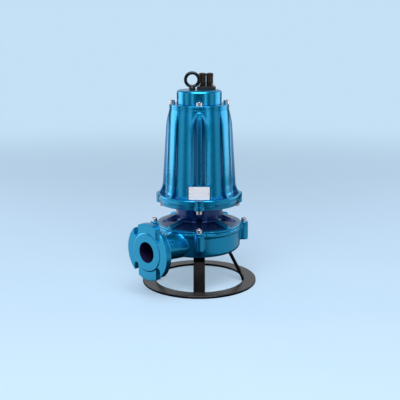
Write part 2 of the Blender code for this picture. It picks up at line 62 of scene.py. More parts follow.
# %% Find the axis
shaft_low, shaft_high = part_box("shaft")
AXIS_X = (shaft_low.x + shaft_high.x) / 2
FRONT, RIGHT, BACK, LEFT = 225.0, 315.0, 45.0, 135.0
SIDES = {"front": FRONT, "right": RIGHT, "back": BACK, "left": LEFT}
BETWEEN = (0.0, 90.0, 180.0, 270.0)
LEG_SCREW_CIRCLE, LUG_CIRCLE, EAR_CIRCLE, CAP_SCREW_CIRCLE = 0.075, 0.152, 0.128, 0.0885
M10_HOLE, M12_HOLE, GAP, PAST = 0.0053, 0.0063, 0.0003, 0.01
STAND_UP = Matrix.Rotation(math.pi / 2, 4, "X")
print(f"the axis stands {AXIS_X * 1000:.2f} mm from the middle of the box")


def polar(radius, degrees, height=0.0):
    """A place by its distance and direction from the world's Z."""
    turn = math.radians(degrees)
    return Vector((radius * math.cos(turn), radius * math.sin(turn), height))


def on_axis(degrees=0.0):
    """Turns a piece made round the world's Z, and sets it on the pump's axis."""
    return Matrix.Translation((AXIS_X, 0, 0)) @ Matrix.Rotation(math.radians(degrees), 4, "Z")


def angle_from(turn, degrees):
    """The signed angle, in radians, from a direction in degrees."""
    return (turn - math.radians(degrees) + math.pi) % (2 * math.pi) - math.pi


# %% [markdown]
# ## Turning and extruding
#
# A lathe makes most of this pump's shapes: an outline is drawn beside the axis and spun round it.
# The other shapes are flat outlines that are raised. Both start from a few corners, and each corner
# says how round it is, because no edge on a cast or turned piece is truly sharp.

# %% Round an outline's corners
def rounded(corners, steps=4):
    """The outline of (x, y, radius) corners, with each corner made an arc of that radius."""
    points = []
    for k, (x, y, radius) in enumerate(corners):
        here = Vector((x, y))
        if radius == 0:
            points.append(here)
            continue
        before = (Vector(corners[k - 1][:2]) - here).normalized()
        after = (Vector(corners[(k + 1) % len(corners)][:2]) - here).normalized()
        half = before.angle(after) / 2
        centre = here + (before + after).normalized() * (radius / math.sin(half))
        start = here + before * (radius / math.tan(half)) - centre
        end = here + after * (radius / math.tan(half)) - centre
        for j in range(steps + 1):
            points.append(centre + start.slerp(end, j / steps).normalized() * radius)
    return points


def oblong(left, right, half, corner, steps=4):
    """An oblong outline with round corners, as far above the middle line as below it."""
    return rounded([(left, -half, corner), (right, -half, corner), (right, half, corner),
                    (left, half, corner)], steps)


# %% [markdown]
# An outline becomes a body when it is turned or raised. Some shapes are neither, but are a turned
# body whose points are pushed in or out, so a point can also say where it stands and be pushed.

# %% Spin, raise and push
def spun(outline, steps=96, loop=False):
    """A body turned from (radius, height) points that start and end on the axis, or form a loop."""
    bm = bmesh.new()
    verts = [bm.verts.new((x, 0, z)) for x, z in outline]
    edges = [bm.edges.new(pair) for pair in zip(verts, verts[1:])]
    if loop:
        edges.append(bm.edges.new((verts[-1], verts[0])))
    bmesh.ops.spin(bm, geom=verts + edges, cent=(0, 0, 0), axis=(0, 0, 1), angle=2 * math.pi,
                   steps=steps, use_merge=True)
    bmesh.ops.remove_doubles(bm, verts=bm.verts, dist=1e-6)
    bmesh.ops.recalc_face_normals(bm, faces=bm.faces)
    return bm


def raised(outline, low, high):
    """A flat outline of (x, y) points raised from one height to another."""
    bm = bmesh.new()
    face = bm.faces.new([bm.verts.new((x, y, low)) for x, y in outline])
    made = bmesh.ops.extrude_face_region(bm, geom=[face])["geom"]
    tops = [part for part in made if isinstance(part, bmesh.types.BMVert)]
    bmesh.ops.translate(bm, verts=tops, vec=(0, 0, high - low))
    bmesh.ops.recalc_face_normals(bm, faces=bm.faces)
    return bm


def rod(radius, low, high, spot=(0.0, 0.0), steps=32):
    """An upright cylinder, which also serves as a drill."""
    bm = bmesh.new()
    middle = Matrix.Translation((spot[0], spot[1], (low + high) / 2))
    bmesh.ops.create_cone(bm, cap_ends=True, segments=steps, radius1=radius, radius2=radius,
                          depth=high - low, matrix=middle)
    return bm


def moved(bm, matrix):
    bm.transform(matrix)
    return bm


def where(vert):
    """How far a point stands from the world's Z, and in which direction."""
    return math.hypot(vert.co.x, vert.co.y), math.atan2(vert.co.y, vert.co.x)


def push_out(vert, share):
    vert.co.x *= share
    vert.co.y *= share


def limited(share):
    """A share kept from 0 to 1."""
    return min(1.0, max(0.0, share))


def bevelled(bm, width, segments=2, angle=60.0):
    """The body with its sharp edges planed off and rounded."""
    sharp = [e for e in bm.edges if e.is_manifold and e.calc_face_angle() > math.radians(angle)]
    bmesh.ops.bevel(bm, geom=sharp, offset=width, offset_type="OFFSET", affect="EDGES",
                    segments=segments, profile=0.5, material=-1, clamp_overlap=True)
    return bm


# %% [markdown]
# ## Casting
#
# Iron is poured, so where a rib meets a wall there is a fillet, and every edge is soft. Instead of
# bevelling each meeting, the piece is poured again: solids are united, cut over into small cells by
# a voxel remesh, and smoothed a few times, which rounds inside and outside corners alike. What the
# factory machines afterwards, such as bores, is cut last.

# %% Pour a casting
def linked(name, data):
    """A new object in the scene that holds the data."""
    obj = bpy.data.objects.new(name, data)
    bpy.context.scene.collection.objects.link(obj)
    return obj


def as_object(bm, name="work"):
    """A body as an object, by default a work object for the modifiers to reach."""
    mesh = bpy.data.meshes.new(name)
    bm.to_mesh(mesh)
    bm.free()
    return linked(name, mesh)


def add_booleans(obj, operation, tools):
    """Each tool as a work object, united with the body or cut from it."""
    tools = [as_object(tool) for tool in tools]
    for tool in tools:
        step = obj.modifiers.new("step", "BOOLEAN")
        step.operation, step.solver, step.object = operation, "EXACT", tool
    return tools


def off_bench(obj, tools):
    """The body as its modifiers leave it, with the work objects cleared away."""
    bm = bmesh.new()
    bm.from_object(obj, bpy.context.evaluated_depsgraph_get())
    for used in (obj, *tools):
        bpy.data.meshes.remove(used.data)
    return bm


def cast(solids, cell, passes, hollows=(), bores=()):
    """Solids united and hollowed, melted into one skin of small cells, softened, then bored."""
    body = as_object(solids[0])
    tools = add_booleans(body, "UNION", solids[1:]) + add_booleans(body, "DIFFERENCE", hollows)
    melt = body.modifiers.new("melt", "REMESH")
    melt.mode, melt.voxel_size = "VOXEL", cell
    soften = body.modifiers.new("soften", "SMOOTH")
    soften.factor, soften.iterations = 0.5, passes
    tools += add_booleans(body, "DIFFERENCE", bores)
    return off_bench(body, tools)


def bored(bm, bores, joined=()):
    """A body joined to others, with holes drilled through them all."""
    body = as_object(bm)
    tools = add_booleans(body, "UNION", joined) + add_booleans(body, "DIFFERENCE", bores)
    return off_bench(body, tools)


def four_drills(radius, low, high, circle):
    """Drills at the diagonals, where the screws go through a piece that is in its place."""
    return [moved(rod(radius, low, high, (circle, 0)), on_axis(turn)) for turn in SIDES.values()]


# %% [markdown]
# ## Shader sums
#
# A finish varies over a surface, and sums on noise describe how. Wiring each sum by hand hides it,
# so one small class wraps a socket, and then `0.2 + clouds * 0.1` adds the two nodes by itself.

# %% A socket that can be added and multiplied
class Wire:
    """A shader socket, with arithmetic that adds Math nodes."""

    def __init__(self, tree, socket=None):
        self.tree, self.socket = tree, socket

    def node(self, kind, settings=None, sockets=None, output=0):
        """A new node of that kind, with its settings made and its sockets set or linked."""
        made = self.tree.nodes.new("ShaderNode" + kind)
        for name, value in (settings or {}).items():
            setattr(made, name, value)
        for name, value in (sockets or {}).items():
            if isinstance(value, Wire):
                self.tree.links.new(value.socket, made.inputs[name])
            else:
                made.inputs[name].default_value = value
        return Wire(self.tree, made.outputs[output])

    def maths(self, operation, *others):
        """A Math node on this socket, and on a second value where the operation takes two."""
        return self.node("Math", {"operation": operation}, dict(enumerate((self, *others))))

    def __add__(self, other):
        return self.maths("ADD", other)

    def __sub__(self, other):
        return self.maths("SUBTRACT", other)

    def __rsub__(self, other):
        return self * -1.0 + other

    def __mul__(self, other):
        return self.maths("MULTIPLY", other)

    __radd__, __rmul__ = __add__, __mul__


# %% [markdown]
# Every finish starts alike: a material whose constants are set, and noise that is placed by the
# coordinates of the pump itself, in metres. Noise mixes its colours and raises its skin.

# %% Start a finish
def new_finish(name, **constants):
    """A material, its shader with the constants set, and a wire that other nodes grow from."""
    material = bpy.data.materials.new(name)
    material.use_nodes = True
    shader = material.node_tree.nodes["Principled BSDF"]
    for socket, value in constants.items():
        shader.inputs[socket.replace("_", " ")].default_value = value
    return material, shader, Wire(material.node_tree)


def place_on(wire, turn=0.0, stretch=(1.0, 1.0, 1.0)):
    """Object coordinates round the pump's axis, turned in degrees, and stretched."""
    spot = wire.node("TexCoord", output="Object")
    return wire.node("Mapping", {"vector_type": "TEXTURE"}, {
        "Vector": spot, "Location": (AXIS_X, 0, 0), "Rotation": (0, 0, math.radians(turn)),
        "Scale": stretch})


def noise(spot, scale, detail=2.0):
    """Soft noise from 0 to 1, so many patches to the metre."""
    return spot.node("TexNoise", {"noise_dimensions": "3D"},
                     {"Vector": spot, "Scale": scale, "Detail": detail})


def blended(share, one, other):
    """A colour between two others."""
    return share.node("Mix", {"data_type": "RGBA"}, {0: share, 6: one, 7: other}, output=2)


def feed(shader, **wires):
    for name, wire in wires.items():
        wire.tree.links.new(wire.socket, shader.inputs[name.replace("_", " ")])


def bump(height, distance, strength):
    """A normal from heights, where 1 stands for that distance in metres."""
    return height.node("Bump", None, {"Height": height, "Distance": distance, "Strength": strength})


# %% [markdown]
# ## The blue enamel
#
# The castings have one thick coat of gloss enamel. Its skin is nearly level, with the faint orange
# peel of a spray gun over the slow waves of sand-cast iron, and its blue is a shade deeper where
# the coat lies thick. The shine is cyan and not white, so the paint is nearly metallic, which tints
# what it mirrors. Where a casting turns inwards, little light reaches it, so navy is mixed into the
# blue there as painted shade. A piece says how far by an attribute on its points.

# %% Mix the enamel
def enamel(name, thin, thick, shade=None):
    """Gloss enamel. A shade colour, if given, is painted shade where the piece's attribute says."""
    material, shader, wire = new_finish(name, Coat_Weight=0.35, Coat_Roughness=0.06, Metallic=0.88)
    spot = place_on(wire)
    clouds = noise(spot, 14.0, 3.0)
    waves = noise(spot, 55.0, 2.0)
    peel = noise(spot, 420.0, 1.0)
    colour = blended(clouds, thick, thin)
    if shade:
        # painted shade: navy mixed in by the piece's own attribute
        painted_shade = wire.node("Attribute", {"attribute_name": "painted_shade"}, output=2)
        colour = blended(painted_shade, colour, shade)
    feed(shader, Base_Color=colour, Roughness=0.24 + clouds * 0.08,
         Normal=bump(waves * 0.9 + peel * 0.06, 0.00018, 0.8))
    return material


THIN_BLUE, THICK_BLUE = (0.004, 0.380, 0.680, 1), (0.004, 0.320, 0.600, 1)
# the colours of painted shade, navy and a duller blue for the ribs' flanks
NAVY_SHADE, RIB_SHADE_BLUE = (0.020, 0.060, 0.200, 1), (0.000, 0.085, 0.240, 1)
BLUE = enamel("blue_enamel", THIN_BLUE, THICK_BLUE)
SHADOWED_BLUE = enamel("shadowed_enamel", THIN_BLUE, THICK_BLUE, NAVY_SHADE)
RIB_SHADED_BLUE = enamel("rib_shaded_enamel", THIN_BLUE, THICK_BLUE, RIB_SHADE_BLUE)
# painted shade: a dark purple-navy enamel inside the casing and its bore
SHADE_INSIDE = enamel("shade_inside_enamel", (0.130, 0.110, 0.400, 1), (0.080, 0.070, 0.280, 1))
print("enamels:", BLUE.name, SHADOWED_BLUE.name, RIB_SHADED_BLUE.name, SHADE_INSIDE.name)

# %% [markdown]
# ## Black paint for the stand
#
# The stand is flat bar, brushed with black gloss that dries a little brown and gathers fine dust.
# Long soft streaks in its roughness stand for the brush, and specks lift its colour slightly.

# %% Mix the black
def black_paint(name, colour, dust, roughness, gloss):
    """Brushed black, given as (red, green, blue), with the colour of its dust."""
    material, shader, wire = new_finish(name, Specular_IOR_Level=gloss)
    streaks = noise(place_on(wire, 0.0, (1.0, 1.0, 6.0)), 60.0, 3.0)
    specks = wire.node("MapRange", None, {"Value": noise(place_on(wire), 900.0, 2.0),
                                          "From Min": 0.60, "From Max": 0.75})
    feed(shader, Base_Color=blended(specks * 0.5 + streaks * 0.25, (*colour, 1), (*dust, 1)),
         Roughness=roughness + streaks * 0.14, Normal=bump(streaks, 0.00015, 0.6))
    return material


RING_BLACK = black_paint("ring_black", (0.004, 0.004, 0.004), (0.020, 0.017, 0.014), 0.18, 1.0)
STRAP_BLACK = black_paint("strap_black", (0.001, 0.001, 0.001), (0.006, 0.005, 0.005), 0.12, 0.3)
EYE_BLACK = black_paint("eye_black", (0.002, 0.002, 0.003), (0.012, 0.011, 0.012), 0.16, 0.4)
print("blacks:", RING_BLACK.name, STRAP_BLACK.name, EYE_BLACK.name)

# %% [markdown]
# ## Bare metals and rubber
#
# The screws are polished stainless, with rings left by the lathe, and the shaft is turned steel,
# so their noise is squashed to rings. The wheel is raw grey iron with grains of sand in its
# skin, and the glands are browned brass on an iron plate.

# %% Mix the metals
def grained_metal(name, light, dark, roughness, grain, squash=1.0, metal=1.0, depth=0.00004):
    """Bare metal between two greys. Squashed grain makes rings round the pump's axis."""
    material, shader, wire = new_finish(name, Metallic=metal)
    lines = noise(place_on(wire, 0.0, (1.0, 1.0, squash)), grain, 3.0)
    stains = noise(place_on(wire), 70.0, 2.0)
    feed(shader, Base_Color=blended(lines * 0.6 + stains * 0.4, (*dark, 1), (*light, 1)),
         Roughness=roughness + lines * 0.10 + stains * 0.08, Normal=bump(lines, depth, 0.6))
    return material


STAINLESS = grained_metal("stainless_steel", (0.92, 0.92, 0.93), (0.74, 0.74, 0.76), 0.12,
                          500.0, 0.15)
TURNED = grained_metal("turned_steel", (0.60, 0.60, 0.62), (0.38, 0.38, 0.40), 0.25, 400.0, 0.05)
RAW_IRON = grained_metal("raw_iron", (0.150, 0.150, 0.155), (0.060, 0.058, 0.058), 0.50, 350.0,
                         metal=0.7, depth=0.00025)
GLAND_IRON = grained_metal("gland_iron", (0.045, 0.038, 0.036), (0.016, 0.014, 0.014), 0.30, 500.0,
                           metal=0.5, depth=0.00012)
BROWNED = grained_metal("browned_brass", (0.050, 0.034, 0.028), (0.012, 0.009, 0.008), 0.16, 450.0,
                        metal=0.6, depth=0.00006)
print("metals:", *(made.name for made in (STAINLESS, TURNED, RAW_IRON, GLAND_IRON, BROWNED)))

# %% [markdown]
# The seals are the only soft thing here. Rubber doesn't shine, and its skin is finely pitted.

# %% Mix the rubber
def rubber(name):
    """Black rubber with grey dust in patches."""
    material, shader, wire = new_finish(name)
    spot = place_on(wire)
    dust, skin = noise(spot, 60.0, 3.0), noise(spot, 1500.0, 2.0)
    feed(shader, Base_Color=blended(dust * 0.6, (0.010, 0.009, 0.009, 1), (0.050, 0.046, 0.043, 1)),
         Roughness=0.55 + dust * 0.2, Normal=bump(skin, 0.0001, 0.7))
    return material


RUBBER = rubber("seal_rubber")
print("rubber:", RUBBER.name)

# %% [markdown]
# ## Putting a piece on the pump
#
# Each finished piece goes into the frame in the same few steps: it is moved to its place, shaded
# smooth with its sharp edges kept, given its finish and told to ride on the pump, and the solids
# that it covers are hidden. Weighted normals keep broad flats looking flat beside small bevels.
# A piece with navy painted shade first gets an attribute that says how much, worked out for each
# point from where it stands.

# %% Finish a piece
def shaded(bm, rule):
    """Writes the attribute of painted shade: 0 is plain blue, and 1 is navy painted shade."""
    layer = bm.verts.layers.float.new("painted_shade")
    for vert in bm.verts:
        vert[layer] = rule(*vert.co)
    return bm


def add_piece(name, bm, finish, node=None, place=None, sharp=38.0, inside=None):
    """Links a piece that stands for a node. Faces that pass the test inside get painted shade."""
    if place is not None:
        bm.transform(place)
    for face in bm.faces:
        face.material_index = 1 if inside and inside(face) else 0
    open_edges = sum(not edge.is_manifold for edge in bm.edges)
    obj = as_object(bm, name)
    mesh = obj.data
    mesh.shade_smooth()
    mesh.set_sharp_from_angle(angle=math.radians(sharp))
    mesh.materials.append(finish)
    if inside:
        mesh.materials.append(SHADE_INSIDE)
    weigh = obj.modifiers.new("weigh", "WEIGHTED_NORMAL")
    weigh.keep_sharp = True
    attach(obj, "root")
    if node:
        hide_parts(node)
    print(f"{name}: {len(mesh.polygons)} faces, {open_edges} open edges")


# %% [markdown]
# ## The ring and its legs
#
# The stand is a flat ring cut from plate, with four straps let into notches in its inner edge. Each
# strap rises, leans inwards and ends level under the pump. The ring is spun and then notched.

# %% Make the ring
ring_low, ring_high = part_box("base_ring")
RING_OUTER = (ring_high.x - ring_low.x) / 2
RING_INNER, RING_THICK = 0.152, ring_high.z
LEG_WIDTH, LEG_THICK, LEG_FOOT, LEG_KNEE, LEG_TOE = 0.038, 0.008, 0.155, 0.103, 0.058
LEG_LIFT, LEG_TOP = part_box("leg_front")[0].z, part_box("leg_front")[1].z


def base_ring():
    outline = rounded([(RING_INNER, 0, 0.0008), (RING_OUTER, 0, 0.0008),
                       (RING_OUTER, RING_THICK, 0.0014), (RING_INNER, RING_THICK, 0.0010)], 3)
    notch = oblong(RING_INNER - PAST, LEG_FOOT + GAP, LEG_WIDTH / 2 + GAP, 0)
    notches = [moved(raised(notch, -PAST, RING_THICK + PAST), on_axis(degrees))
               for degrees in SIDES.values()]
    ring = moved(spun(outline, 160, loop=True), on_axis())
    add_piece("stand_ring", bored(ring, notches), RING_BLACK, "base_ring")


base_ring()

# %% [markdown]
# The straps are outlines seen from the side, raised by their width and stood up. Their edges are
# planed by a millimetre, as a shear and a grinder leave them.

# %% Bend the legs
def leg_outline():
    """The strap from the side, as (radius, height): up in its notch, leaning in, then level."""
    slope = (LEG_FOOT - LEG_KNEE) / (LEG_TOP - RING_THICK)
    inset = LEG_THICK * math.hypot(1, slope)
    knee = LEG_TOP - LEG_THICK
    lean = LEG_FOOT - inset - slope * (knee - RING_THICK)
    return rounded([(LEG_FOOT, LEG_LIFT, 0), (LEG_FOOT, RING_THICK, 0.004),
                    (LEG_KNEE, LEG_TOP, 0.008), (LEG_TOE, LEG_TOP, 0), (LEG_TOE, knee, 0),
                    (lean, knee, 0.002), (LEG_FOOT - inset, RING_THICK, 0.010),
                    (LEG_FOOT - inset, LEG_LIFT, 0)])


def leg(side, degrees):
    strap = bevelled(raised(leg_outline(), -LEG_WIDTH / 2, LEG_WIDTH / 2), 0.0010)
    hole = rod(M10_HOLE, LEG_TOP - LEG_THICK - PAST, LEG_TOP + PAST, (LEG_SCREW_CIRCLE, 0))
    strap = bored(moved(strap, STAND_UP), [hole])
    add_piece(f"strap_{side}", strap, STRAP_BLACK, f"leg_{side}", on_axis(degrees))


for side, degrees in SIDES.items():
    leg(side, degrees)

# %% [markdown]
# ## Socket screws
#
# Eighteen screws hold the pump together. A socket screw's head is a short drum with a knurled side,
# a chamfered rim and a six-sided hole for the key. The head is spun, then the knurl is made by
# pressing in every second column of points, and the hole by pulling its ring out to a hexagon.

# %% Make a socket screw
SCREW_SIZES = {  # the shank's radius, the head's radius and height, and the hexagon's width
    "M12": (0.006, 0.009, 0.012, 0.010),
    "M10": (0.005, 0.008, 0.010, 0.008),
    "M5": (0.0025, 0.0043, 0.005, 0.004),
}
SIXTH = math.pi / 3


def socket_screw(size, length, columns=60):
    """A screw with its head's underside at height 0, its shank below and its threads plain."""
    shank, head, height, flats = SCREW_SIZES[size]
    socket, chamfer, thread = flats / 2, 0.08 * head, 0.0006
    outline = [(0, -length), (shank - thread, -length), (shank, thread - length), (shank, 0),
               (head, 0), (head, height * 0.15), (head, height * 0.80), (head, height - chamfer),
               (head - chamfer, height), (socket + chamfer, height), (socket, height - chamfer),
               (socket, height * 0.45), (0, height * 0.35)]
    bm = spun(outline, columns)
    for vert in bm.verts:
        radius, turn = where(vert)
        column = round(turn / (2 * math.pi) * columns) % columns
        share = 1.0
        if abs(radius - head) < 1e-6 and 0 < vert.co.z < height * 0.9 and column % 2:
            share = 0.988
        if abs(radius - socket) < 1e-6:
            share = 1 / math.cos((turn + SIXTH / 2) % SIXTH - SIXTH / 2)
        push_out(vert, share)
    return bm


def screw_ring(name, size, length, circle, upside_down=False):
    """One screw at each diagonal, with its head up or hanging down."""
    low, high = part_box(f"{name}_screw_front")
    tall = SCREW_SIZES[size][2]
    seat = low.z + tall if upside_down else high.z - tall
    flip = Matrix.Rotation(math.pi, 4, "X") if upside_down else Matrix.Identity(4)
    for side, degrees in SIDES.items():
        place = on_axis(degrees) @ Matrix.Translation((circle, 0, seat)) @ flip
        add_piece(f"{name}_bolt_{side}", socket_screw(size, length), STAINLESS,
                  f"{name}_screw_{side}", place, 45)


screw_ring("leg", "M10", 0.022, LEG_SCREW_CIRCLE, True)
screw_ring("volute", "M12", 0.036, LUG_CIRCLE)
screw_ring("housing", "M12", 0.028, EAR_CIRCLE, True)
screw_ring("cap", "M12", 0.020, CAP_SCREW_CIRCLE)

# %% [markdown]
# ## The suction cover
#
# A turned plate closes the casing from below. Its mouth flares, so that sludge runs in smoothly,
# and a low spigot on top centres it in the casing. It is one spun outline with four holes, all in
# navy, because it lies in the pump's shadow.

# %% Turn the cover
cover_low, cover_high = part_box("suction_cover")
COVER_TOP, SPIGOT_RADIUS = cover_high.z - 0.005, 0.058


def suction_cover():
    mouth, edge = 0.036, (cover_high.x - cover_low.x) / 2
    outline = rounded([(mouth, cover_low.z, 0.006), (edge, cover_low.z, 0.002),
                       (edge, COVER_TOP, 0.0005), (SPIGOT_RADIUS, COVER_TOP, 0.0005),
                       (SPIGOT_RADIUS, cover_high.z, 0.001), (mouth, cover_high.z, 0.0015)], 5)
    holes = [rod(M10_HOLE, cover_low.z - PAST, cover_high.z + PAST,
                 polar(LEG_SCREW_CIRCLE, turn)[:2]) for turn in SIDES.values()]
    cover = shaded(bored(spun(outline, 96, loop=True), holes), lambda x, y, z: 1.0)
    add_piece("mouth_cover", cover, SHADOWED_BLUE, "suction_cover", on_axis())


suction_cover()

# %% [markdown]
# ## Lugs and ears
#
# Each screw has a lug to hold it: round outside, with straight sides running in to the casting. A
# circle's inner half is pushed back to the root, which turns it into just that shape.

# %% Shape a lug
def lug(radius, circle, root, low, high, degrees):
    """A lug round a screw on that circle, with its straight sides back to the root's radius."""
    bm = rod(radius, low, high, (0.0, 0.0), 48)
    for vert in bm.verts:
        if vert.co.x < -1e-6:
            vert.co.x = root - circle
            vert.co.y = math.copysign(radius, vert.co.y) if abs(vert.co.y) > 1e-6 else 0.0
    bmesh.ops.remove_doubles(bm, verts=bm.verts, dist=1e-6)
    return moved(bm, on_axis(degrees) @ Matrix.Translation((circle, 0, 0)))


# %% [markdown]
# ## The volute casing
#
# The casing is the pump's snail shell. Its drum grows slowly round the axis until it runs out into
# the neck, and inside it the channel grows the same way. A plain spun drum becomes a spiral when
# each point moves outwards by its share of the turn. The step where the end meets the start lies
# inside the neck, as it does in the iron.

# %% Spiral a drum
BRACKET_SPIGOT = 0.012
VOLUTE_BOTTOM = COVER_TOP + GAP
VOLUTE_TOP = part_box("motor_bracket")[0].z + BRACKET_SPIGOT - GAP
VOLUTE_START, VOLUTE_END, WALL, RIM_RADIUS, RIM_THICK = 0.134, 0.1415, 0.009, 0.1428, 0.012
LUG_RADIUS, LUG_BOTTOM, TOP_OPENING = 0.0148, 0.147, 0.098
print(f"the casing stands from {VOLUTE_BOTTOM:.4f} to {VOLUTE_TOP:.4f}")


def spiral_drum(inset, low, high, edge, end_edge, steps=144):
    """A drum whose radius grows clockwise from the outlet, and whose lower edge sharpens."""
    start = VOLUTE_START - inset
    bm = spun(rounded([(0, low, 0), (start, low, edge), (start, high, 0), (0, high, 0)], 5), steps)
    for vert in bm.verts:
        radius, turn = where(vert)
        turned = (math.pi - turn) % (2 * math.pi) / (2 * math.pi)
        step_back = limited((1 - turned) / 0.03)
        growth = (VOLUTE_END - VOLUTE_START) * turned * step_back * min(1.0, radius / start)
        reach = radius
        if radius > start - edge * 1.01 and vert.co.z < low + edge:
            small = edge + (end_edge - edge) * limited((turned - 0.7) / 0.2)
            reach = start - small + small * (radius - start + edge) / edge
            vert.co.z = low + small * (vert.co.z - low) / edge
        if radius > 1e-6:
            push_out(vert, (reach + growth) / radius)
    return moved(bm, on_axis())


# %% [markdown]
# The neck is a turned tube laid on its side. It swells and drops a little towards the drum, so its
# points are lowered by their distance from the flange after it is spun.

# %% Lay the neck and bore
OUTLET_REACH, OUTLET_SIDE, OUTLET_HEIGHT = AXIS_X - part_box("volute_casing")[0].x, 0.0292, 0.160
OUTLET_BORE, OUTLET_NECK, OUTLET_SWELL = 0.034, 0.0405, 0.043
OUTLET_ROOT, SWELL_DROP = 0.104, 0.0038
FLANGE_RADIUS, FLANGE_THICK, RAISED_RADIUS, RAISED_STEP = 0.0925, 0.020, 0.061, 0.002
FLANGE_BACK = OUTLET_REACH - RAISED_STEP - FLANGE_THICK
SLOT_OFFSET, SLOT_HALF = 0.0725 * math.sqrt(0.5), 0.009
LAY_OUTLET = (Matrix.Translation((AXIS_X, -OUTLET_SIDE, OUTLET_HEIGHT))
              @ Matrix.Rotation(-math.pi / 2, 4, "Y"))


def outlet_neck():
    swell_end, swell_start = OUTLET_ROOT + 0.020, FLANGE_BACK - 0.030
    outline = [(0, OUTLET_ROOT), (OUTLET_SWELL, OUTLET_ROOT), (OUTLET_SWELL, swell_end),
               (OUTLET_NECK, swell_start), (OUTLET_NECK, FLANGE_BACK - 0.011)]
    outline += [(OUTLET_NECK + out, FLANGE_BACK + along) for out, along in
                ((0.001, -0.006), (0.0035, -0.002), (0.007, 0), (0.007, 0.008))]
    bm = spun(outline + [(0, FLANGE_BACK + 0.008)], 96)
    for vert in bm.verts:
        vert.co.x -= SWELL_DROP * limited((swell_start - vert.co.z) / (swell_start - swell_end))
    return moved(bm, LAY_OUTLET)


def outlet_bore(start, end):
    return moved(rod(OUTLET_BORE, start, end, steps=96), LAY_OUTLET)


def in_the_dark(face):
    """Whether a face lies in the bore or looks in towards the axis, and so gets painted shade."""
    spot = LAY_OUTLET.inverted() @ face.calc_center_median()
    if math.hypot(spot.x, spot.y) < OUTLET_BORE + 0.0004 and 0 < spot.z < OUTLET_REACH - 0.0015:
        return True
    out = face.calc_center_median() - Vector((AXIS_X, 0, 0))
    flat = Vector((out.x, out.y, 0))
    return flat.length < VOLUTE_START - 0.006 and face.normal.dot(flat) < 0.001 * flat.length


# %% [markdown]
# The drum, a rim, the neck and four lugs are poured together round the channel. The outlet's bore,
# the openings above and below and the screws' holes are machined, and the back of the flange is
# planed, since the flange itself is poured apart.

# %% Pour the casing
def volute_casing():
    rim = moved(spun([(0, VOLUTE_TOP - RIM_THICK), (RIM_RADIUS, VOLUTE_TOP - RIM_THICK),
                      (RIM_RADIUS, VOLUTE_TOP), (0, VOLUTE_TOP)], 160), on_axis())
    drum = spiral_drum(0.0, VOLUTE_BOTTOM, VOLUTE_TOP - 0.004, 0.016, 0.0064)
    solids = [drum, rim, outlet_neck()]
    solids += [lug(LUG_RADIUS, LUG_CIRCLE, 0.110, LUG_BOTTOM, VOLUTE_TOP, degrees)
               for degrees in SIDES.values()]
    floor, ceiling = VOLUTE_BOTTOM + WALL, VOLUTE_TOP - RIM_THICK
    channel = spiral_drum(WALL + 0.001, floor, ceiling, 0.010, 0.004)
    plane = moved(rod(0.2, FLANGE_BACK - 0.0001, FLANGE_BACK + 0.05), LAY_OUTLET)
    bores = [moved(rod(TOP_OPENING, ceiling - PAST, VOLUTE_TOP + PAST, steps=128), on_axis()),
             moved(rod(SPIGOT_RADIUS + GAP, VOLUTE_BOTTOM - PAST, floor + 0.004, steps=96),
                   on_axis()), outlet_bore(OUTLET_ROOT, FLANGE_BACK + 0.02), plane]
    bores += four_drills(M12_HOLE, VOLUTE_TOP - 0.032, VOLUTE_TOP + PAST, LUG_CIRCLE)
    bores += four_drills(M10_HOLE, VOLUTE_BOTTOM - PAST, VOLUTE_BOTTOM + 0.007, LEG_SCREW_CIRCLE)
    add_piece("casing", cast(solids, 0.0021, 5, [channel], bores), BLUE,
              "volute_casing", inside=in_the_dark)


volute_casing()

# %% [markdown]
# ## The outlet flange
#
# The real flange is one with the casing, but its raised face stands only two millimetres proud and
# needs finer cells, so it is a disc of its own against the neck's end. Its four slots are open, so
# that bolts drop in from the rim.

# %% Slot the flange
def slot_tool(side, turn):
    """One open slot, above or below the middle, turned to either side of the flange."""
    half_round = [polar(SLOT_HALF, 90 + 15 * k) for k in range(13)]
    outline = [(SLOT_OFFSET + p.x, side * SLOT_OFFSET + p.y) for p in half_round]
    outline += [(FLANGE_RADIUS + PAST, side * SLOT_OFFSET + half)
                for half in (-SLOT_HALF, SLOT_HALF)]
    tool = raised(outline, FLANGE_BACK - PAST, OUTLET_REACH + PAST)
    return moved(tool, LAY_OUTLET @ Matrix.Rotation(math.radians(turn), 4, "Z"))


def outlet_flange():
    front = OUTLET_REACH - RAISED_STEP
    disc = spun([(0, FLANGE_BACK), (FLANGE_RADIUS, FLANGE_BACK), (FLANGE_RADIUS, front),
                 (RAISED_RADIUS, front), (RAISED_RADIUS, OUTLET_REACH), (0, OUTLET_REACH)], 128)
    slots = [slot_tool(side, turn) for side in (-1, 1) for turn in (0, 180)]
    bore = outlet_bore(FLANGE_BACK - PAST, OUTLET_REACH + PAST)
    add_piece("outlet_disc", cast([moved(disc, LAY_OUTLET)], 0.0011, 3, slots, [bore]), BLUE,
              "volute_casing", inside=in_the_dark)


outlet_flange()

# %% [markdown]
# ## The motor bracket
#
# Between the casing and the motor sits the oil chamber: a plate, a waisted neck, eight upright ribs
# and a flange with four ears. It is poured from a spun body, the lugs and ears, and ribs that are
# outlines seen from the side, like the legs.

# %% Pour the bracket
BRACKET_BOTTOM, BRACKET_TOP = VOLUTE_TOP + GAP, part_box("motor_bracket")[1].z
PLATE_TOP, SHOULDER, UNDER = BRACKET_BOTTOM + 0.008, BRACKET_BOTTOM + 0.0195, BRACKET_TOP - 0.016
NECK_FOOT, NECK_TOP, UPPER_RADIUS, EAR_RADIUS = 0.076, 0.082, 0.136, 0.0165
# painted shade on the bracket: full navy within the inner radius, plain blue beyond the outer
SHAFT_BORE, BLUE_FROM, NAVY_WITHIN = 0.0176, 0.142, 0.122


def gusset(half, inner, outer, degrees):
    """An upright rib, from a point on the neck down to a point over the plate."""
    low = BRACKET_BOTTOM + 0.002
    outline = [(0.06, low), (outer[0], low), outer, inner, (0.06, inner[1])]
    return moved(raised(outline, -half, half), on_axis(degrees) @ STAND_UP)


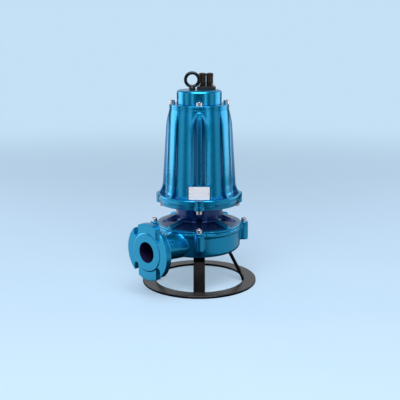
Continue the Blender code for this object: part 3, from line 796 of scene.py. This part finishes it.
def bracket_body():
    spigot, under = TOP_OPENING - GAP, BRACKET_BOTTOM - BRACKET_SPIGOT + 0.0005
    outline = [(SHAFT_BORE, under), (spigot, under),
               (spigot, BRACKET_BOTTOM), (RIM_RADIUS, BRACKET_BOTTOM), (RIM_RADIUS, PLATE_TOP),
               (RIM_RADIUS - 0.010, PLATE_TOP), (NECK_FOOT + 0.004, SHOULDER),
               (NECK_FOOT, SHOULDER + 0.005), (NECK_TOP, UNDER - 0.006), (NECK_TOP + 0.028, UNDER),
               (UPPER_RADIUS, UNDER), (UPPER_RADIUS, BRACKET_TOP), (SHAFT_BORE, BRACKET_TOP)]
    return moved(spun(outline, 160, loop=True), on_axis())


def shade_of_bracket(x, y, height):
    """Navy painted shade near the axis, lifted on the narrow ribs' tops as painted highlight."""
    radius, turn = math.hypot(x - AXIS_X, y), math.atan2(y, x - AXIS_X)
    away = min(abs(angle_from(turn, degrees)) for degrees in BETWEEN)
    on_rib = radius * math.sin(away) < 0.0062 and PLATE_TOP + 0.003 < height < UNDER - 0.012
    navy = limited((BLUE_FROM - radius) / (BLUE_FROM - NAVY_WITHIN))
    return navy * (0.25 if on_rib and radius > NECK_FOOT + 0.006 else 1.0)


def motor_bracket():
    solids = [bracket_body()]
    for degrees in SIDES.values():
        solids.append(lug(LUG_RADIUS, LUG_CIRCLE, 0.120, BRACKET_BOTTOM, PLATE_TOP, degrees))
        solids.append(lug(EAR_RADIUS, EAR_CIRCLE, NECK_TOP + 0.03, UNDER - 0.0005, BRACKET_TOP,
                          degrees))
        solids.append(gusset(0.011, (0.076, 0.236), (0.124, 0.2120), degrees))
    solids += [gusset(0.0055, (0.076, 0.232), (0.138, 0.2165), degrees) for degrees in BETWEEN]
    bores = four_drills(M12_HOLE, BRACKET_BOTTOM - PAST, PLATE_TOP + PAST, LUG_CIRCLE)
    bores += four_drills(M12_HOLE, UNDER - PAST, BRACKET_TOP + PAST, EAR_CIRCLE)
    bracket = shaded(cast(solids, 0.0018, 4, bores=bores), shade_of_bracket)
    add_piece("bracket", bracket, SHADOWED_BLUE, "motor_bracket")


motor_bracket()

# %% [markdown]
# ## The motor's bell
#
# The bell is the piece that one sees first, and its long straight highlights show every ripple, so
# it isn't poured from cells. It is spun from one outline, and then each point is pushed out to the
# ribs, ears and flat that stand proud there. Where two shapes meet, a soft maximum of their radii
# leaves a fillet, exactly as thick as it is told. The ribs' depths are given as (height, depth):
# they flare out at the foot, and fade away below the collar.

# %% Describe what stands proud
housing_low, housing_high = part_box("motor_housing")
FLANGE_TOP, HOUSING_RADIUS = housing_low.z + 0.017, 0.140
BELL_FOOT, BELL_FOOT_RADIUS, BELL_TOP, BELL_TOP_RADIUS = 0.345, 0.1160, 0.563, 0.1005
COLLAR_RADIUS, WALL_FOOT_RADIUS, RIB_FOOT, RIB_TOP = 0.098, 0.1105, 0.300, 0.5865
RIB_DEPTHS = [(RIB_FOOT, 0.021), (0.306, 0.018), (0.322, 0.0105), (0.334, 0.0075),
              (BELL_FOOT, 0.006), (0.546, 0.0064), (0.566, 0.0036), (RIB_TOP, -0.0006)]
PAD_FACE, PAD_LOW, PAD_HIGH, PAD_HALF = 0.1262, 0.3055, 0.3570, 0.0365


def soft_max(one, other, blend):
    """The larger of two lengths, with a fillet of that width where they are nearly equal."""
    near = max(blend - abs(one - other), 0) / blend
    return max(one, other) + near * near * blend / 4


def soft_min(one, other, blend):
    return -soft_max(-one, -other, blend)


def tapered(height, foot_radius):
    share = (height - BELL_FOOT) / (BELL_TOP - BELL_FOOT)
    return foot_radius + (BELL_TOP_RADIUS - foot_radius) * share


def rib_face(height):
    """How far out the ribs' faces stand. They taper more than the wall between them."""
    for (low, one), (high, other) in zip(RIB_DEPTHS, RIB_DEPTHS[1:]):
        if low <= height <= high:
            depth = one + (other - one) * (height - low) / (high - low)
            return tapered(height, BELL_FOOT_RADIUS) + depth
    return 0.0


def ridge_radius(turn, face, wall, face_half, root_half):
    """How far out a flat-faced rib with sloping flanks reaches, at an angle from its middle."""
    slope = (root_half - face_half) / max(face - wall, 0.007)
    flank = (face_half + face * slope) / (abs(math.sin(turn)) + math.cos(turn) * slope)
    return soft_min(face / math.cos(turn), flank, 0.0022)


# %% [markdown]
# Each rib has a half width at its face and another at its root, and the wide ones stand at the
# diagonals. The front one stays behind the flat that carries the plate. Navy painted shade lies
# halfway up a rib's flank, which mirrors only its neighbour.

# %% Push the ribs, ears and flat out
WIDE_RIB, NARROW_RIB = (0.0065, 0.0195), (0.0042, 0.0085)
RIBS = {**dict.fromkeys(SIDES.values(), WIDE_RIB), **dict.fromkeys(BETWEEN, NARROW_RIB)}


def face_at(degrees, height):
    """How far out one rib's face stands."""
    return min(rib_face(height), PAD_FACE - 0.001) if degrees == FRONT else rib_face(height)


def with_ribs(radius, turn, height):
    wall = tapered(height, WALL_FOOT_RADIUS)
    for degrees, halves in RIBS.items():
        away = angle_from(turn, degrees)
        if abs(away) < math.radians(20):
            ridge = ridge_radius(away, face_at(degrees, height), wall, *halves)
            radius = soft_max(radius, ridge, 0.0025)
    away = angle_from(turn, FRONT)
    if PAD_LOW < height < PAD_HIGH and abs(away) < math.radians(30):
        side = PAD_HALF / max(abs(math.sin(away)), 1e-6)
        radius = soft_max(radius, soft_min(PAD_FACE / math.cos(away), side, 0.0012), 0.0012)
    return radius


def flank_shade_share(x, y, height):
    """Painted shade: 1 halfway up the flank of a rib, and 0 on its face and on the wall."""
    turn, wall = math.atan2(y, x), tapered(height, WALL_FOOT_RADIUS)
    degrees = min(RIBS, key=lambda rib: abs(angle_from(turn, rib)))
    away, depth = angle_from(turn, degrees), face_at(degrees, height) - wall
    if not RIB_FOOT < height < RIB_TOP or depth < 0.001 or abs(away) > math.radians(14):
        return 0.0
    share = (math.hypot(x, y) * math.cos(away) - wall) / depth
    return limited(7.0 * share * (1 - share))


def with_ears(radius, turn):
    for degrees in SIDES.values():
        away = angle_from(turn, degrees)
        side = EAR_CIRCLE * math.sin(away)
        if abs(away) < math.radians(20) and abs(side) < EAR_RADIUS:
            reach = EAR_CIRCLE * math.cos(away) + math.sqrt(EAR_RADIUS ** 2 - side ** 2)
            radius = soft_max(radius, reach, 0.003)
    return radius


# %% [markdown]
# The outline needs many heights along the taper, or the ribs would have nothing to bend. Two
# shallow grooves run round the collar, each given by its foot, height, run in, depth and roundness.

# %% Spin the bell
GROOVES = [(0.5928, 0.0020, 0.0006, 0.0009, 0.0004), (0.6002, 0.0014, 0.0004, 0.0012, 0.0003)]


def bell_outline():
    """From the shaft's bore round the flange, up the taper and the collar to the top."""
    low, top, collar = housing_low.z, housing_high.z, COLLAR_RADIUS
    foot = rounded([(SHAFT_BORE, low, 0), (HOUSING_RADIUS, low, 0.0015),
                    (HOUSING_RADIUS, FLANGE_TOP, 0.004), (0.1150, FLANGE_TOP, 0.005),
                    (0.1128, 0.3170, 0)], 6)
    foot += [(0.1128 - 0.0023 * k / 14, 0.3170 + 0.002 * k) for k in range(1, 15)]
    steps = [0.349, PAD_HIGH - 0.0012, PAD_HIGH - 0.0002, PAD_HIGH + 0.0002, 0.362]
    steps += [0.375 + 0.02 * k for k in range(9)] + [0.550, 0.556]
    wall = [(tapered(z, WALL_FOOT_RADIUS), z) for z in steps]
    wall += [(BELL_TOP_RADIUS - 0.000098 * k, BELL_TOP + 0.001 * k) for k in range(24)]
    head = [(0.0982, RIB_TOP, 0), (collar, 0.5885, 0.006)]
    for start, tall, run, depth, soft in GROOVES:
        head += [(collar, start, soft), (collar - depth, start + run, soft),
                 (collar - depth, start + tall - run, soft), (collar, start + tall, soft)]
    head = rounded(head + [(collar, top, 0.0016), (0, top, 0)], 3)[1:]
    return [(0, low + 0.030), (SHAFT_BORE, low + 0.030)] + foot + wall + head


def motor_housing():
    bm = spun(bell_outline(), 480)
    for vert in bm.verts:
        radius, turn = where(vert)
        new = radius
        if radius > 0.134 and vert.co.z <= FLANGE_TOP + 1e-6:
            new = with_ears(radius, turn)
        elif radius > 0.09 and FLANGE_TOP - 1e-6 <= vert.co.z < RIB_TOP:
            new = with_ribs(radius, turn, vert.co.z)
        if radius > 0:
            push_out(vert, new / radius)
    drills = []
    for degrees in SIDES.values():
        ear, cap = polar(EAR_CIRCLE, degrees)[:2], polar(CAP_SCREW_CIRCLE, degrees)[:2]
        drills.append(rod(M12_HOLE, housing_low.z - PAST, housing_low.z + 0.014, ear))
        drills.append(rod(M12_HOLE, housing_high.z - 0.022, housing_high.z + PAST, cap))
    # painted shade in navy halfway up the ribs' flanks
    bell = shaded(bored(bm, drills), flank_shade_share)
    add_piece("bell", bell, RIB_SHADED_BLUE, "motor_housing", on_axis())


motor_housing()

# %% [markdown]
# ## The cap and the lifting eye
#
# The cap is a plain turned lid with a soft rim. What stands on it is placed as seen from the front,
# by how far it is to the right and how near.

# %% Turn the cap
cap_low, cap_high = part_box("top_cap")
CAP_RADIUS, CAP_TOP = (cap_high.x - cap_low.x) / 2, cap_high.z


def on_top(right, near, height=0.0):
    """A frame on the cap, seen from the front, with X to the right and Y away."""
    spot = polar(1, RIGHT) * right + polar(1, FRONT) * near + Vector((AXIS_X, 0, height))
    return Matrix.Translation(spot) @ Matrix.Rotation(math.radians(RIGHT), 4, "Z")


EYE_SIDE, EYE_NEAR, EYE_MIDDLE, EYE_BAR, EYE_RING = -0.023, 0.004, 0.0327, 0.0053, 0.0218
EYE_STUD = 0.0045


def top_cap():
    outline = rounded([(0, cap_low.z, 0), (CAP_RADIUS, cap_low.z, 0.001),
                       (CAP_RADIUS, CAP_TOP, 0.0085), (0, CAP_TOP, 0)], 10)
    hole = moved(rod(EYE_STUD + GAP, CAP_TOP - 0.015, CAP_TOP + PAST), on_top(EYE_SIDE, EYE_NEAR))
    add_piece("lid", bored(moved(spun(outline, 160), on_axis()), [hole]), BLUE,
              "top_cap")


top_cap()

# %% [markdown]
# The eye is a forged ring on a collar: a circle spun into a torus, poured together with a turned
# foot so that the two run into each other.

# %% Forge the eye
def lifting_eye():
    bar = [polar(EYE_BAR, 15 * k) + Vector((EYE_RING, 0, 0)) for k in range(24)]
    ring = spun([spot[:2] for spot in bar], 64, loop=True)
    upright = Matrix.Translation((0, 0, EYE_MIDDLE)) @ STAND_UP
    neck = EYE_MIDDLE - EYE_RING
    foot = spun([(0, GAP), (0.0105, GAP), (0.0105, 0.006), (0.0085, 0.007), (0.007, neck),
                 (0, neck)], 48)
    stud = rod(EYE_STUD, -0.012, 0.002)
    eye = cast([moved(ring, upright), foot, stud], 0.0007, 3)
    add_piece("eye_bolt", eye, EYE_BLACK, "lifting_eye",
              on_top(EYE_SIDE, EYE_NEAR, CAP_TOP))


lifting_eye()

# %% [markdown]
# ## The cable glands
#
# Two glands stand in a small iron plate beside the eye. Each has a hexagon that screws into the
# plate, a domed nut with grip flats above it, and a rubber seal that shows as a ring round the
# cable's hole. No cable is in them, as in the photograph.

# %% Make the gland plate
GLAND_SIDES, GLAND_NEAR, GLAND_SEAT, GLAND_TALL = (0.0105, 0.0345), -0.015, 0.010, 0.043
PLATE_LEFT, PLATE_RIGHT, PLATE_HALF, SLEEVE = -0.0075, 0.0545, 0.017, 0.0075
BOLT_SIDES, BOLT_NEAR = (PLATE_LEFT + 0.0065, PLATE_RIGHT - 0.0065), 0.0105


def gland_plate():
    outline = oblong(PLATE_LEFT, PLATE_RIGHT, PLATE_HALF, 0.008, 6)
    plate = bevelled(raised(outline, GAP, GLAND_SEAT), 0.0010, 3)
    drills = [rod(SLEEVE + GAP, 0.006, GLAND_SEAT + PAST, (side, 0)) for side in GLAND_SIDES]
    drills += [rod(0.0028, 0.003, GLAND_SEAT + PAST, (side, -BOLT_NEAR)) for side in BOLT_SIDES]
    add_piece("gland_plate", bored(plate, drills), GLAND_IRON, "gland_base",
              on_top(0, GLAND_NEAR, CAP_TOP))


gland_plate()

# %% [markdown]
# The nut's grips are shallow flutes between twelve columns, pressed in as the screws' knurl was.

# %% Make each gland
def gland_hexagon():
    """A chamfered hexagon with a threaded sleeve above and below it, bored through."""
    outline = [polar(0.0118, 60 * k)[:2] for k in range(6)]
    hexagon = bevelled(raised(outline, GLAND_SEAT + GAP, GLAND_SEAT + 0.012), 0.0006, angle=40)
    sleeve = rod(SLEEVE, GLAND_SEAT - 0.0035, GLAND_SEAT + 0.018, steps=48)
    return bored(hexagon, [rod(0.0052, 0, 0.05, steps=48)], [sleeve])


def gland_nut(columns=72, grips=12):
    """The domed nut, with shallow flutes between its grips."""
    low, high, bore = GLAND_SEAT + 0.012 + GAP, GLAND_SEAT + GLAND_TALL, 0.0060
    inner, neck = SLEEVE + GAP, GLAND_SEAT + 0.0185
    outline = rounded([(inner, low, 0), (0.0118, low, 0.0006), (0.0118, low + 0.003, 0.0004),
                       (0.0114, low + 0.0034, 0.0004), (0.0114, high - 0.0102, 0.0004),
                       (0.0119, high - 0.0094, 0.0006), (0.0119, high - 0.0020, 0.0010),
                       (0.0104, high, 0.0010), (bore, high, 0.0006), (bore, neck, 0),
                       (inner, neck, 0)], 4)
    bm = spun(outline, columns, loop=True)
    for vert in bm.verts:
        radius, turn = where(vert)
        if radius > 0.0111 and low + 0.0032 < vert.co.z < high - 0.0100:
            push_out(vert, 1 - 0.03 * (0.5 - 0.5 * math.cos(grips * turn)) ** 2)
    return bm


def gland_seal():
    low, high = GLAND_SEAT + 0.0190, GLAND_SEAT + GLAND_TALL + 0.001
    outline = rounded([(0.0035, low, 0), (0.0057, low, 0), (0.0057, high, 0.0007),
                       (0.0035, high, 0.0007)], 4)
    return spun(outline, 48, loop=True)


for number, side in enumerate(GLAND_SIDES, 1):
    place = on_top(side, GLAND_NEAR, CAP_TOP)
    add_piece(f"gland_hexagon_{number}", gland_hexagon(), BROWNED,
              f"gland_body_{number}", place)
    add_piece(f"gland_dome_{number}", gland_nut(), BROWNED,
              f"gland_nut_{number}", place)
    add_piece(f"gland_rubber_{number}", gland_seal(), RUBBER,
              f"gland_seal_{number}", place)

for number, side in enumerate(BOLT_SIDES, 1):
    place = on_top(side, GLAND_NEAR + BOLT_NEAR, CAP_TOP + GLAND_SEAT + GAP)
    add_piece(f"gland_bolt_{number}", socket_screw("M5", 0.006), STAINLESS,
              f"gland_screw_{number}", place, 45)

# %% [markdown]
# ## The plate
#
# A small aluminium plate is riveted to the flat on the bell. It carries no words here, only the
# ruled lines of its empty table. The lines are a finish and not a shape, because they are only a
# tenth of a millimetre deep.

# %% Rule the plate's finish
plate_low, plate_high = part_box("nameplate")
PLATE_MIDDLE, PLATE_TALL = (plate_low.z + plate_high.z) / 2, plate_high.z - plate_low.z
PLATE_WIDE, PLATE_THICK, ROW = 0.067, 0.0012, 0.0062


def ruled_aluminium():
    """Pale aluminium, brushed sideways, with a line in each row of the table."""
    material, shader, wire = new_finish("ruled_aluminium", Metallic=0.10)
    spot = place_on(wire, FRONT - 90)
    across = spot.node("SeparateXYZ", None, {0: spot}, output=0)
    up = spot.node("SeparateXYZ", None, {0: spot}, output=2) - PLATE_MIDDLE
    rows = (up * (1 / ROW)).maths("FRACT") - 0.5
    rule = rows.maths("ABSOLUTE").maths("LESS_THAN", 0.05)
    inside = across.maths("ABSOLUTE").maths("LESS_THAN", PLATE_WIDE * 0.43)
    below = up.maths("LESS_THAN", PLATE_TALL * 0.27)
    above = up.maths("GREATER_THAN", -PLATE_TALL * 0.42)
    lines = rule * inside * below * above
    grain = noise(place_on(wire, FRONT - 90, (8.0, 1.0, 1.0)), 900.0, 2.0)
    bright = blended(grain, (0.86, 0.89, 0.94, 1), (0.97, 0.98, 1.00, 1))
    feed(shader, Base_Color=blended(lines * 0.45, bright, (0.40, 0.45, 0.52, 1)),
         Roughness=0.46 + grain * 0.12, Normal=bump(grain * 0.3 - lines, 0.00008, 0.7))
    return material


RULED = ruled_aluminium()
print("rows of the plate:", RULED.name)

# %% [markdown]
# The plate lies on the flat with a rivet near each end.

# %% Rivet the plate on
def nameplate():
    half = PLATE_WIDE / 2
    outline = oblong(-half, half, PLATE_TALL / 2, 0.002)
    plate = bevelled(raised(outline, 0, PLATE_THICK), 0.0003)
    spot = on_axis(FRONT) @ Matrix.Translation((PAD_FACE + GAP, 0, PLATE_MIDDLE))
    lay = spot @ Matrix.Rotation(math.pi / 2, 4, "Z") @ STAND_UP
    add_piece("rating_plate", plate, RULED, "nameplate", lay)
    for number, side in enumerate((-1, 1), 1):
        head = rounded([(0, 0, 0), (0.0019, 0, 0), (0.0019, 0.0009, 0.0006), (0, 0.0009, 0)], 4)
        spot = lay @ Matrix.Translation((side * (half - 0.004), 0, PLATE_THICK))
        add_piece(f"plate_rivet_{number}", spun(head, 24), STAINLESS, None, spot)


nameplate()

# %% [markdown]
# ## The wheel and the shaft
#
# Through the suction mouth and the outlet one can just see the wheel and the end of the shaft. The
# frame's own solids are good enough for that, so they stay and only get their finish.

# %% Dress what stays
for node, finish in (("impeller", RAW_IRON), ("shaft", TURNED)):
    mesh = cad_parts[node].data
    mesh.materials.clear()
    mesh.materials.append(finish)
    print(f"{node} is dressed in {finish.name}")

# %% [markdown]
# ## The studio
#
# The photograph has a dark room in front of the pump, a big soft light on each side, and a pale
# wall behind. That is why the enamel is dark down its middle and bright at its edges. The same is
# set up here. The floor is plain and pale to the camera. To the enamel, which mirrors everything,
# the same floor is dark.

# %% Lay the floor
PALE = (0.55, 0.75, 0.92, 1)


def pale_floor():
    """Pale and shadowed near the pump, and as plain as the world further off."""
    bm = bmesh.new()
    bmesh.ops.create_grid(bm, x_segments=1, y_segments=1, size=60.0)
    floor = as_object(bm, "floor")
    material, shader, wire = new_finish("pale_floor", Roughness=0.9, Specular_IOR_Level=0.1)
    spot = wire.node("TexCoord", output="Object")
    away = spot.node("VectorMath", {"operation": "LENGTH"}, {0: spot}, output=1)
    far = away.node("MapRange", {"interpolation_type": "SMOOTHSTEP"},
                    {"Value": away, "From Min": 0.8, "From Max": 4.5, "To Min": 0.45})
    clouds = noise(spot, 3.0)
    feed(shader, Base_Color=blended(clouds, (0.52, 0.70, 0.86, 1), (0.56, 0.74, 0.90, 1)))
    glow = wire.node("Emission", None, {"Color": PALE})
    dark = wire.node("BsdfDiffuse", None, {"Color": (0.004, 0.006, 0.020, 1)})
    lit = Wire(wire.tree, shader.outputs[0])
    shown = far.node("MixShader", None, {0: far, 1: lit, 2: glow})
    seen = wire.node("LightPath", output="Is Camera Ray")
    both = seen.node("MixShader", None, {0: seen, 1: dark, 2: shown})
    wire.tree.links.new(both.socket, wire.tree.nodes["Material Output"].inputs["Surface"])
    floor.data.materials.append(material)


pale_floor()

# %% [markdown]
# A strong light hangs overhead, and a broad one stands on each side, a little behind the pump. On
# each side a dim panel and a strip nearer the camera draw the lines on the bell. Two cards on the
# floor light the flange and the drum from below. Each row is the azimuth from the front towards the
# right, the height, the distance, the width and length, and the watts.

# %% Hang the lights
LIGHTS = {
    "top_light": (0, 2.60, 1.6, 3.0, 2.0, 100),
    "left_light": (-112, 0.75, 2.4, 1.6, 1.8, 19),
    "left_panel": (-66, 0.75, 2.4, 0.8, 1.8, 3.4),
    "left_strip": (-34, 0.75, 2.4, 0.5, 1.8, 3.2),
    "right_strip": (33, 0.75, 2.4, 0.5, 1.8, 4.1),
    "right_panel": (68, 0.75, 2.4, 0.8, 1.8, 2.8),
    "right_light": (112, 0.75, 2.4, 1.8, 1.8, 17),
    "left_card": (-95, 0.005, 1.4, 2.2, 2.0, 11),
    "right_card": (80, 0.005, 1.4, 2.2, 1.6, 5),
}
PUMP_MIDDLE = 0.33


def hang_light(name, azimuth, height, distance, wide, tall, watts):
    """A softbox that faces the pump, or a card that lies on the floor and faces up."""
    data = bpy.data.lights.new(name, "AREA")
    data.shape = "RECTANGLE"
    data.size, data.size_y, data.energy = wide, tall, watts
    light = linked(name, data)
    spot = polar(distance, FRONT + azimuth, height) + Vector((AXIS_X, 0, 0))
    way = Vector((AXIS_X, 0, PUMP_MIDDLE)) - spot
    light.location, light.rotation_euler = spot, way.to_track_quat("-Z", "Y").to_euler()
    if name.endswith("card"):
        light.rotation_euler = (math.pi, 0, math.radians(FRONT + azimuth))
    light.visible_camera = False


for name, row in LIGHTS.items():
    hang_light(name, *row)
print("lights:", len(LIGHTS))

# %% [markdown]
# What the enamel mirrors far off is a dark, faintly blue room, with a bright wall behind the pump
# that reaches over it. The camera sees only the pale backdrop.

# %% Paint the world
def studio_world():
    """Pale to the camera, and to the enamel a dark room with a bright wall."""
    world = bpy.data.worlds.new("studio")
    world.use_nodes = True
    bpy.context.scene.world = world
    wire = Wire(world.node_tree)
    background = world.node_tree.nodes["Background"]
    way = wire.node("TexCoord", output="Generated")
    lit = way.node("VectorMath", {"operation": "DOT_PRODUCT"},
                   {0: way, 1: polar(-0.9, FRONT, 0.5)}, output=1)
    share = lit.node("MapRange", {"interpolation_type": "SMOOTHSTEP"},
                     {"Value": lit, "From Min": 0.35})
    room = blended(share, (0.020, 0.018, 0.110, 1), (0.50, 0.52, 0.55, 1))
    seen = wire.node("LightPath", output="Is Camera Ray")
    feed(background, Color=blended(seen, room, PALE))
    print("world:", world.name)


studio_world()

# %% [markdown]
# ## The camera
#
# The camera stands square in front of the pump, a little above it, and looks slightly down. Its
# distance, height and lens were worked out from the circles of the ring and the flanges, in metres,
# degrees and pixels of the picture.

# %% Set up the camera
CAMERA_AWAY, CAMERA_HIGH, CAMERA_DOWN = 2.444, 0.848, 13.04
FOCAL_PIXELS, SHIFT_PIXELS, PICTURE = 741.0, 0.8, 400.0
data = bpy.data.cameras.new("camera")
data.sensor_width = 36.0
data.lens = FOCAL_PIXELS / PICTURE * data.sensor_width
data.shift_x = SHIFT_PIXELS / PICTURE
camera = linked("camera", data)
camera.location = polar(CAMERA_AWAY, FRONT, CAMERA_HIGH) + Vector((AXIS_X, 0, 0))
camera.rotation_euler = (math.radians(90 - CAMERA_DOWN), 0, math.radians(FRONT + 90))
bpy.context.scene.camera = camera
bpy.context.scene.view_settings.view_transform = "Standard"
print("camera at", [round(x, 3) for x in camera.location])
